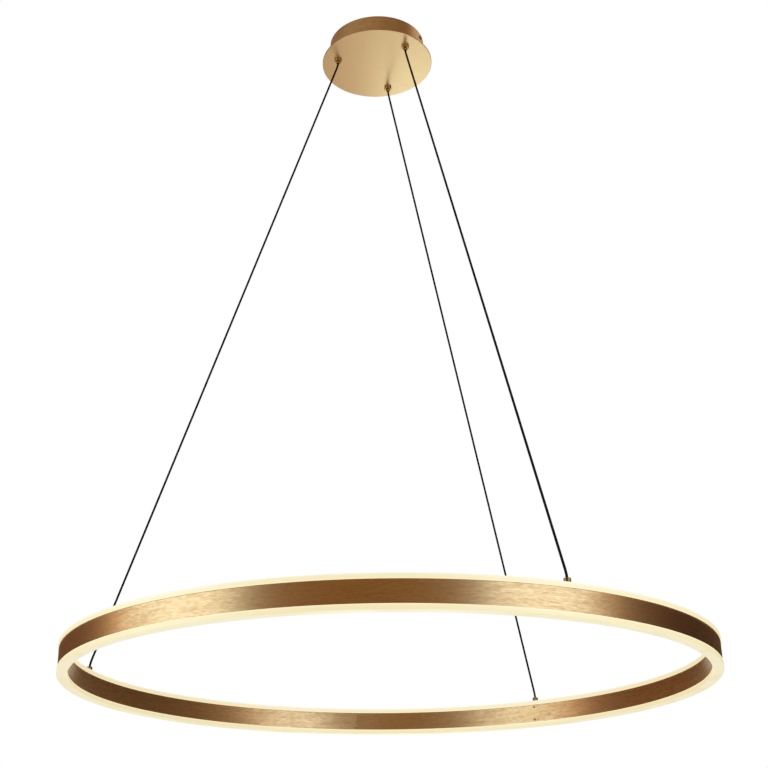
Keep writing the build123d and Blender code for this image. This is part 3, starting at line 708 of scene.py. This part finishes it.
# %% Opal acrylic
CLOUD_SCALE = 18.0
CLOUD_SHIFT = 0.008
OWN_COLOUR = (0.36, 0.36, 0.34, 1)  # linear, how much of the glow's colour the plastic has
GLOW = 0.71
opal, tree, shader = finish("opal acrylic", roughness=0.38)
where = add(tree, "TexCoord")
flat = add(tree, "SeparateXYZ", {0: where.outputs["Object"]})
level = add(tree, "Math", {0: flat.outputs[2], 1: BAND_MIDDLE}, operation="SUBTRACT")
share = add(
    tree, "MapRange", {0: level.outputs[0], 1: -HALF_BAND - HEAD, 2: HALF_BAND + HEAD}
)
cloud = add(
    tree, "TexNoise", {"Vector": where.outputs["Object"], "Scale": CLOUD_SCALE, "Detail": 2.0}
)
shift = add(
    tree, "MapRange", {0: cloud.outputs[0], 1: 0.3, 2: 0.7, 3: -CLOUD_SHIFT, 4: CLOUD_SHIFT}
)
spot = add(tree, "Math", {0: share.outputs[0], 1: shift.outputs[0]}, operation="ADD")
glow = add(tree, "ValToRGB", {0: spot.outputs[0]}, stops=GLOW_STOPS)
# Painted light: the plastic's own colour is the glow's ramp, dimmed.
body = add(
    tree,
    "Mix",
    {0: 1.0, 6: glow.outputs[0], 7: OWN_COLOUR},
    data_type="RGBA",
    blend_type="MULTIPLY",
)
skin = add(tree, "Bump", {"Strength": 0.05, "Distance": 0.0002, "Height": cloud.outputs[0]})
tree.links.new(body.outputs[2], shader.inputs["Base Color"])
tree.links.new(glow.outputs[0], shader.inputs["Emission Color"])
tree.links.new(skin.outputs[0], shader.inputs["Normal"])
shader.inputs["Emission Strength"].default_value = GLOW
shader.inputs["IOR"].default_value = 1.49  # acrylic
dress(opal, "diffuser_top", "diffuser_bottom")
print("glow", GLOW, "on two diffusers")

# %% [markdown]
# ## Black cable jacket
# The cables have a smooth extruded PVC jacket. It is black with a soft sheen, and its surface and
# gloss vary a little, which a fine noise with patches of about 1.4 mm gives.

# %% PVC jacket
GRAIN_SCALE = 700.0
JACKET_DARK, JACKET_LIGHT = "#040404", "#0A0A0A"
JACKET_SMOOTH, JACKET_DULL = 0.55, 0.7  # roughness
jacket, tree, shader = finish("extruded black PVC", roughness=0.6)
where = add(tree, "TexCoord")
grain = add(
    tree, "TexNoise", {"Vector": where.outputs["Object"], "Scale": GRAIN_SCALE, "Detail": 2.0}
)
tone = add(
    tree,
    "Mix",
    {0: grain.outputs[0], 6: linear(JACKET_DARK), 7: linear(JACKET_LIGHT)},
    data_type="RGBA",
)
gloss = add(tree, "MapRange", {0: grain.outputs[0], 3: JACKET_SMOOTH, 4: JACKET_DULL})
relief = add(tree, "Bump", {"Strength": 0.1, "Distance": 0.0001, "Height": grain.outputs[0]})
tree.links.new(tone.outputs[2], shader.inputs["Base Color"])
tree.links.new(gloss.outputs[0], shader.inputs["Roughness"])
tree.links.new(relief.outputs[0], shader.inputs["Normal"])
shader.inputs["Specular IOR Level"].default_value = 0.15
for mark in "abc":
    dress(jacket, f"suspension_cable_{mark}", f"cable_upper_end_{mark}", f"cable_end_{mark}")
print(jacket.name, "on nine cable pieces")

# %% [markdown]
# ## Plated steel
# The ceiling plate, its earth screw, nuts, springs, balls, ferrules and anchor blocks are steel
# with bright zinc. Zinc plating has a faint cloudy pattern, which is drawn as soft patches about
# 6 mm across in colour and gloss.

# %% Zinc-plated steel
PATCH_SCALE = 160.0
ZINC_DARK, ZINC_LIGHT = "#B4B7BA", "#D2D4D4"
ZINC_SMOOTH, ZINC_DULL = 0.26, 0.44  # roughness
steel, tree, shader = finish("zinc plated steel", metallic=1.0)
where = add(tree, "TexCoord")
patches = add(
    tree, "TexNoise", {"Vector": where.outputs["Object"], "Scale": PATCH_SCALE, "Detail": 3.0}
)
tone = add(
    tree,
    "Mix",
    {0: patches.outputs[0], 6: linear(ZINC_DARK), 7: linear(ZINC_LIGHT)},
    data_type="RGBA",
)
gloss = add(tree, "MapRange", {0: patches.outputs[0], 3: ZINC_SMOOTH, 4: ZINC_DULL})
tree.links.new(tone.outputs[2], shader.inputs["Base Color"])
tree.links.new(gloss.outputs[0], shader.inputs["Roughness"])
dress(steel, "ceiling_plate", "earth_screw", "stud_nuts", "grip_locknuts")
for mark in "abc":
    dress(steel, f"grip_balls_{mark}", f"release_spring_{mark}", f"cable_ferrule_{mark}")
    dress(steel, f"anchor_block_{mark}")
print(steel.name, "has patches of", round(1000 / PATCH_SCALE, 1), "mm")

# %% [markdown]
# ## Mill finish aluminium
# The core is an aluminium extrusion as it came from the mill, rolled to a ring. The die leaves
# straight lines along it and no other polish. They are finer than a tenth of a millimetre on the
# real piece and are drawn about 1 mm apart so that they show.

# %% Aluminium extrusion
DIE_LINES = (20, 20, 900)  # scale along the lamp's three axes
MILL_DARK, MILL_LIGHT = "#BFC1C3", "#DADBDB"
MILL_SMOOTH, MILL_DULL = 0.34, 0.5  # roughness
aluminium, tree, shader = finish("mill finish aluminium", metallic=1.0)
where = add(tree, "TexCoord")
place = add(tree, "Mapping", {0: where.outputs["Object"], 3: DIE_LINES})
lines = add(tree, "TexNoise", {"Vector": place.outputs[0], "Scale": 1.0, "Detail": 3.0})
tone = add(
    tree,
    "Mix",
    {0: lines.outputs[0], 6: linear(MILL_DARK), 7: linear(MILL_LIGHT)},
    data_type="RGBA",
)
gloss = add(tree, "MapRange", {0: lines.outputs[0], 3: MILL_SMOOTH, 4: MILL_DULL})
tree.links.new(tone.outputs[2], shader.inputs["Base Color"])
tree.links.new(gloss.outputs[0], shader.inputs["Roughness"])
dress(aluminium, "ring_core")
print(aluminium.name, "has lines every", round(1000 / DIE_LINES[2], 1), "mm")

# %% [markdown]
# ## Moulded plastic
# The driver's case is white polycarbonate with a fine spark texture, and the terminals are a
# greyer polyamide. Moulded parts are all one colour, so the texture's small bumps and uneven
# gloss do the work.

# %% Driver case and terminals
PLASTIC_SMOOTH, PLASTIC_DULL = 0.45, 0.65  # roughness
PLASTICS = (
    # name, darker and lighter colour, size of the texture in metres, pieces
    ("white polycarbonate", "#E4E4DF", "#EFEFEA", 0.0008, ["led_driver"]),
    ("grey white polyamide", "#CFCDC5", "#DBD9D1", 0.0012, ["mains_terminal", "output_terminal"]),
)
for name, low, high, size, targets in PLASTICS:
    plastic, tree, shader = finish(name)
    where = add(tree, "TexCoord")
    spark = add(
        tree, "TexNoise", {"Vector": where.outputs["Object"], "Scale": 1 / size, "Detail": 2.0}
    )
    tone = add(
        tree, "Mix", {0: spark.outputs[0], 6: linear(low), 7: linear(high)}, data_type="RGBA"
    )
    gloss = add(tree, "MapRange", {0: spark.outputs[0], 3: PLASTIC_SMOOTH, 4: PLASTIC_DULL})
    relief = add(tree, "Bump", {"Strength": 0.2, "Distance": 0.0001, "Height": spark.outputs[0]})
    tree.links.new(tone.outputs[2], shader.inputs["Base Color"])
    tree.links.new(gloss.outputs[0], shader.inputs["Roughness"])
    tree.links.new(relief.outputs[0], shader.inputs["Normal"])
    dress(plastic, *targets)
    print(name, "with a texture of", size * 1000, "mm")

# %% [markdown]
# ## LED strips
# White solder mask over a flexible board, with a yellow phosphor chip every few millimetres. The
# chips stand proud of the board, so height tells them apart: on the upper strips above, on the
# lower strips below.

# %% LED board
BOARD_FACE = 0.0018  # metres from the band's middle to the top of the white board
CHIP_MARGIN = 0.0001  # metres past it, where the chips begin
SPECK_SCALE = 900.0  # specks of about 1 mm in the solder mask
MASK_DARK, MASK_LIGHT = "#E9E8E2", "#F4F3EE"
PHOSPHOR = "#E8C24A"
board, tree, shader = finish("white solder mask with phosphor chips", roughness=0.4)
where = add(tree, "TexCoord")
flat = add(tree, "SeparateXYZ", {0: where.outputs["Object"]})
level = add(tree, "Math", {0: flat.outputs[2], 1: BAND_MIDDLE}, operation="SUBTRACT")
away = add(tree, "Math", {0: level.outputs[0]}, operation="ABSOLUTE")
chip = add(
    tree,
    "Math",
    {0: away.outputs[0], 1: BOARD_FACE + CHIP_MARGIN},
    operation="GREATER_THAN",
)
speck = add(
    tree, "TexNoise", {"Vector": where.outputs["Object"], "Scale": SPECK_SCALE, "Detail": 2.0}
)
mask = add(
    tree,
    "Mix",
    {0: speck.outputs[0], 6: linear(MASK_DARK), 7: linear(MASK_LIGHT)},
    data_type="RGBA",
)
tone = add(
    tree,
    "Mix",
    {0: chip.outputs[0], 6: mask.outputs[2], 7: linear(PHOSPHOR)},
    data_type="RGBA",
)
tree.links.new(tone.outputs[2], shader.inputs["Base Color"])
for mark in "abc":
    dress(board, f"led_strip_top_{mark}", f"led_strip_bottom_{mark}")
print(board.name, "on six strips")

# %% [markdown]
# ## The studio
# The photograph has a white background, so the world is plain white to every ray that shows it:
# the camera's own, those that a glossy surface mirrors and those that pass through. The light that
# it throws on things is a softer grey. A wide pale floor far below the lamp carries on the white.

# %% World
BACKDROP = (1, 1, 1, 1)
FILL = (0.62, 0.62, 0.63, 1)  # linear, what the surroundings throw on the lamp
world = bpy.data.worlds.new("studio world")
bpy.context.scene.world = world
world.use_nodes = True
tree = world.node_tree
ray = add(tree, "LightPath")
seen = add(
    tree,
    "Math",
    {0: ray.outputs["Is Camera Ray"], 1: ray.outputs["Is Glossy Ray"]},
    operation="MAXIMUM",
)
shown = add(
    tree,
    "Math",
    {0: seen.outputs[0], 1: ray.outputs["Is Transmission Ray"]},
    operation="MAXIMUM",
)
grey = add(tree, "Mix", {0: shown.outputs[0], 6: FILL, 7: BACKDROP}, data_type="RGBA")
tree.links.new(grey.outputs[2], tree.nodes["Background"].inputs["Color"])

bpy.context.scene.view_settings.view_transform = "Standard"
print(world.name, "with fill light", FILL[0])

# %% Floor
FLOOR_LEVEL = -4.3
FLOOR_SIZE = 60
SEEN_GLOW, MIRRORED_GLOW = 0.45, 0.25  # what the floor adds where it is seen and where mirrored
start_fresh()
bpy.ops.mesh.primitive_plane_add(size=FLOOR_SIZE, location=(0, 0, FLOOR_LEVEL))
floor = piece("studio_floor")
floor_paint, tree, shader = finish("pale studio floor", roughness=0.9)
ray = add(tree, "LightPath")
direct = add(tree, "Math", {0: ray.outputs["Is Camera Ray"], 1: SEEN_GLOW}, operation="MULTIPLY")
mirrored = add(
    tree, "Math", {0: ray.outputs["Is Glossy Ray"], 1: MIRRORED_GLOW}, operation="MULTIPLY"
)
lift = add(tree, "Math", {0: direct.outputs[0], 1: mirrored.outputs[0]}, operation="MAXIMUM")
tree.links.new(lift.outputs[0], shader.inputs["Emission Strength"])
shader.inputs["Base Color"].default_value = linear("#F2F2F2")
shader.inputs["Emission Color"].default_value = linear("#FFFFFF")
floor.data.materials.append(floor_paint)
print(floor.name, "at", FLOOR_LEVEL, "m")

# %% [markdown]
# ## The dim room
# Brass shows what stands round it more than any colour of its own. In plain white surroundings it
# would be one flat pale yellow, while the photographed bands run from pale gold to deep brown. The
# room is a large drum of wall that only mirror-like rays see, and it lights nothing. Its lower part
# is dim and brown, and its upper part, which the canopy's drum mirrors, is paler, with a bright
# patch on the right. The wall is open behind the lamp, where the metal sees the white backdrop. Two
# ramps give the colours round it: 0 is straight towards -X, 0.25 towards the camera, 0.5 towards
# +X, 0.75 behind the lamp, and 1 is -X again.

# %% What the room shows all round
ROOM_STOPS = [
    (0.0, "#663010"),  # towards -X
    (0.14, "#855E2A"),
    (0.22, "#80602C"),  # behind the camera
    (0.32, "#8A6E40"),
    (0.44, "#6E4E28"),  # towards +X
    (0.56, "#341810"),
    (0.68, "#5A4636"),
    (0.75, "#766A5A"),  # behind the lamp
    (0.84, "#67432C"),
]
UPPER_STOPS = [
    (0.0, "#ABA395"),  # towards -X
    (0.11, "#B2AB9A"),
    (0.19, "#B8AC9C"),
    (0.28, "#A89884"),
    (0.37, "#8A704C"),
    (0.45, "#7F5E28"),  # towards +X
    (0.5, "#8C6E48"),
    (0.54, "#F0E4D8"),
    (0.61, "#FAF4EE"),
    (0.68, "#A89080"),
]
print(len(ROOM_STOPS), "colours round the lower wall and", len(UPPER_STOPS), "round the upper")

# %% The room's wall
ROOM_RADIUS = 6.5
ROOM_TOP = 7.0
ROOM_FOOT = FLOOR_LEVEL - 0.2  # a little below the floor, so that no gap shows
ROOM_SIDES = 72
OPENING = 7  # degrees, each side of straight behind
start_fresh()
bpy.ops.mesh.primitive_cylinder_add(
    vertices=ROOM_SIDES,
    radius=ROOM_RADIUS,
    depth=ROOM_TOP - ROOM_FOOT,
    location=(0, 0, (ROOM_TOP + ROOM_FOOT) / 2),
)
room = piece("dim_room")
bpy.ops.object.mode_set(mode="EDIT")
shape = bmesh.from_edit_mesh(room.data)
for face in shape.faces:
    centre = face.calc_center_median()
    behind = abs(atan2(centre.x, centre.y)) < radians(OPENING)
    upright = abs(face.normal.z) < 0.5
    face.select = upright and behind
bmesh.update_edit_mesh(room.data)
bpy.ops.mesh.delete(type="FACE")
bpy.ops.object.mode_set(mode="OBJECT")
print(room.name, "has", len(room.data.polygons), "faces")

# %% The room's paint
UPPER_START, UPPER_FULL = 2.5, 4.0  # heights where the upper wall starts and is full
room_paint, tree, shader = finish("unlit room", roughness=1.0)
where = add(tree, "TexCoord")
flat = add(tree, "SeparateXYZ", {0: where.outputs["Object"]})
angle = add(tree, "Math", {0: flat.outputs[1], 1: flat.outputs[0]}, operation="ARCTAN2")
share = add(tree, "MapRange", {0: angle.outputs[0], 1: -pi, 2: pi})
low_wall = add(tree, "ValToRGB", {0: share.outputs[0]}, stops=ROOM_STOPS)
high_wall = add(tree, "ValToRGB", {0: share.outputs[0]}, stops=UPPER_STOPS)
rise = add(
    tree,
    "MapRange",
    {0: flat.outputs[2], 1: UPPER_START, 2: UPPER_FULL},
    interpolation_type="SMOOTHSTEP",
)
wall = add(
    tree,
    "Mix",
    {0: rise.outputs[0], 6: low_wall.outputs[0], 7: high_wall.outputs[0]},
    data_type="RGBA",
)
tree.links.new(wall.outputs[2], shader.inputs["Emission Color"])
shader.inputs["Emission Strength"].default_value = 1.0
shader.inputs["Base Color"].default_value = (0, 0, 0, 1)
shader.inputs["Specular IOR Level"].default_value = 0.0
room.data.materials.append(room_paint)
room.visible_camera = room.visible_diffuse = room.visible_transmission = False
room.visible_shadow = room.visible_volume_scatter = False
print(room_paint.name, "on", room.name)

# %% [markdown]
# ## Softboxes
# Two tall softboxes on the camera's side make the pale patches on the bands and light the lamp.
# Beyond each stands a faint warm card, so that its patch fades to gold before the brown, and a
# small softbox gives the canopy's underside its sheen. The cards and the small softbox act on
# reflections only. The softboxes are a little cool, so that the brass takes the photograph's tones.
# An area light's power is spread over its face, so it goes up with the area here, and the colour
# alone says how bright the face is.

# %% Softboxes
LIGHTS_ALL = ("left softbox", "right softbox")  # the others act on reflections only
SOFTBOXES = (
    # name, place, aimed at, width, height, brightness in red, green and blue
    ("left softbox", (-1.39, -0.74, -0.8), (0, 0, -0.8), 1.12, 1.8, (1.36, 1.92, 2.5)),
    ("right softbox", (1.06, -1.11, -0.8), (0, 0, -0.8), 0.87, 1.8, (1.38, 1.92, 2.65)),
    ("left warm card", (-1.719, -0.122, -0.8), (-0.329, 0.618, -0.8), 0.3, 1.8, (0.85, 0.48, 0.08)),
    ("right warm card", (1.45, -0.739, -0.8), (0.41, 0.381, -0.8), 0.28, 1.8, (0.45, 0.26, 0.04)),
    ("canopy softbox", (0.13, 0.74, -0.4), (0.13, 0.1, 0.08), 0.25, 0.45, (1.2, 1.95, 2.4)),
)
for name, place, aim, width, height, brightness in SOFTBOXES:
    box = bpy.data.lights.new(name, "AREA")
    box.shape = "RECTANGLE"
    box.size, box.size_y = width, height
    box.energy = pi * width * height
    box.color = brightness
    lamp = bpy.data.objects.new(name, box)
    lamp.location = place
    lamp.rotation_euler = (Vector(aim) - Vector(place)).to_track_quat("-Z", "Y").to_euler()
    lamp.visible_camera = False
    lamp.visible_diffuse = name in LIGHTS_ALL
    bpy.context.collection.objects.link(lamp)
    print(name, round(box.energy, 1), "W")
